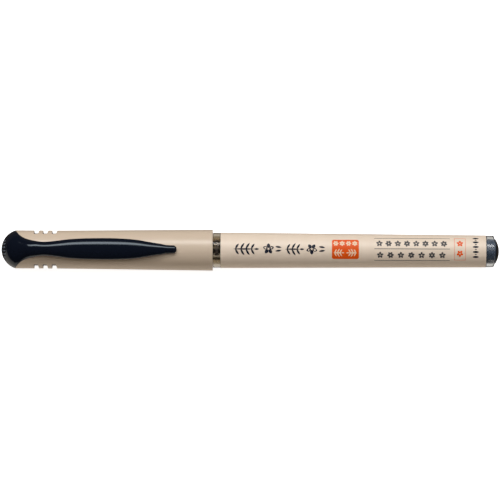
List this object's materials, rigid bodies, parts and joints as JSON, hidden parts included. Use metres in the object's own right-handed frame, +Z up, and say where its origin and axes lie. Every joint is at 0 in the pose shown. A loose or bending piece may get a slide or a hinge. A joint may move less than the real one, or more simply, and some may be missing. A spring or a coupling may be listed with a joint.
{
  "type": "brush pen",
  "caption": "Capped brush pen with a flexible felt brush, an ink regulator seen through clear windows, a labelled barrel and a cap with a sprung pocket clip.",
  "frame": {"origin": "under the middle of the capped pen, at the height of the surface that it lies on", "axes": "+X along the pen from the crown to the tail, +Z up through the middle of the clip, +Y across"},
  "size_m": [0.142, 0.0116, 0.0145],
  "materials": {
    "felt": "soft white felt brush",
    "fibre": "bonded fibre, inked dark grey",
    "black_plastic": "glossy black moulding",
    "clear_grip": "clear moulding",
    "clear_barrel": "clear tube",
    "label": "satin beige film with printing",
    "ink": "black liquid ink",
    "navy": "semi-gloss dark navy moulding",
    "milky_liner": "translucent brownish liner",
    "beige": "semi-gloss beige moulding"
  },
  "bodies": {
    "barrel": {"barrel": "clear_barrel", "label": "label", "ink": "ink", "tail_plug": "navy", "grip_section": "clear_grip", "collector": "black_plastic", "feed_rod": "fibre", "brush_holder": "black_plastic", "brush_stem": "felt"},
    "cap": {"cap_shell": "beige", "inner_cap": "milky_liner", "crown": "navy"},
    "clip": {"clip_arm": "navy"},
    "brush": {"brush_tip": "felt"}
  },
  "joints": [
    {"name": "cap_pull", "type": "slide", "parent": "barrel", "child": "cap", "axis": [-1, 0, 0], "range_m": [0, 0.07]},
    {"name": "clip_flex", "type": "hinge", "parent": "cap", "child": "clip", "pos_m": [-0.0614, 0, 0.01219], "axis": [0, -1, 0], "range_deg": [0, 5], "stiffness_Nm_per_rad": 0.4},
    {"name": "brush_bend", "type": "hinge", "parent": "barrel", "child": "brush", "pos_m": [-0.04475, 0, 0.00585], "axis": [0, 1, 0], "range_deg": [-8, 8], "stiffness_Nm_per_rad": 0.005}
  ]
}
